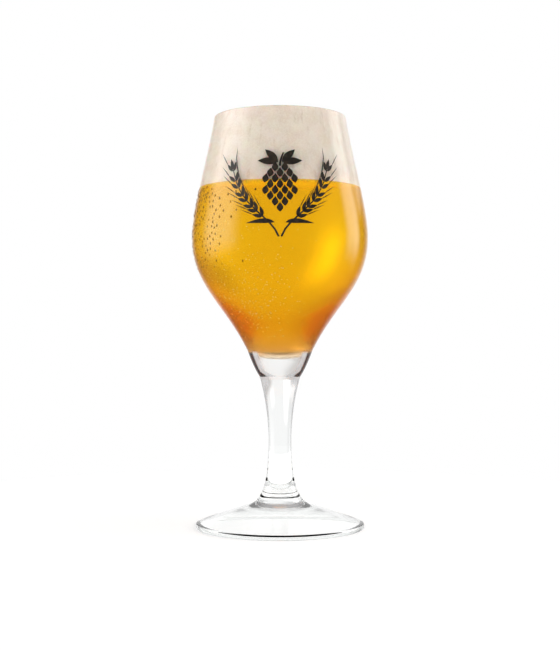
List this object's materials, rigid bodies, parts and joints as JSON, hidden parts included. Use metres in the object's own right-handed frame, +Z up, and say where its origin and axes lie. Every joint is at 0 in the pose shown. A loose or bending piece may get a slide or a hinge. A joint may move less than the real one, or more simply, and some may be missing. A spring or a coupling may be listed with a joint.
{
  "type": "stemmed beer glass",
  "caption": "Stemmed tulip beer glass: clear bowl with a wide belly drawn in to the rim, waisted stem and round foot, filled with golden beer under a creamy foam head.",
  "frame": {"origin": "on the table, under the middle of the foot", "axes": "+Z up along the stem; the glass is round, so +X and +Y are free, and the printed side faces -Y"},
  "size_m": [0.086, 0.086, 0.2],
  "materials": {
    "clear_glass": "polished",
    "golden_beer": "gloss",
    "creamy_foam": "matte"
  },
  "bodies": {
    "root": {"foot": "clear_glass", "stem": "clear_glass", "bowl": "clear_glass", "beer": "golden_beer", "foam_head": "creamy_foam"}
  },
  "joints": []
}
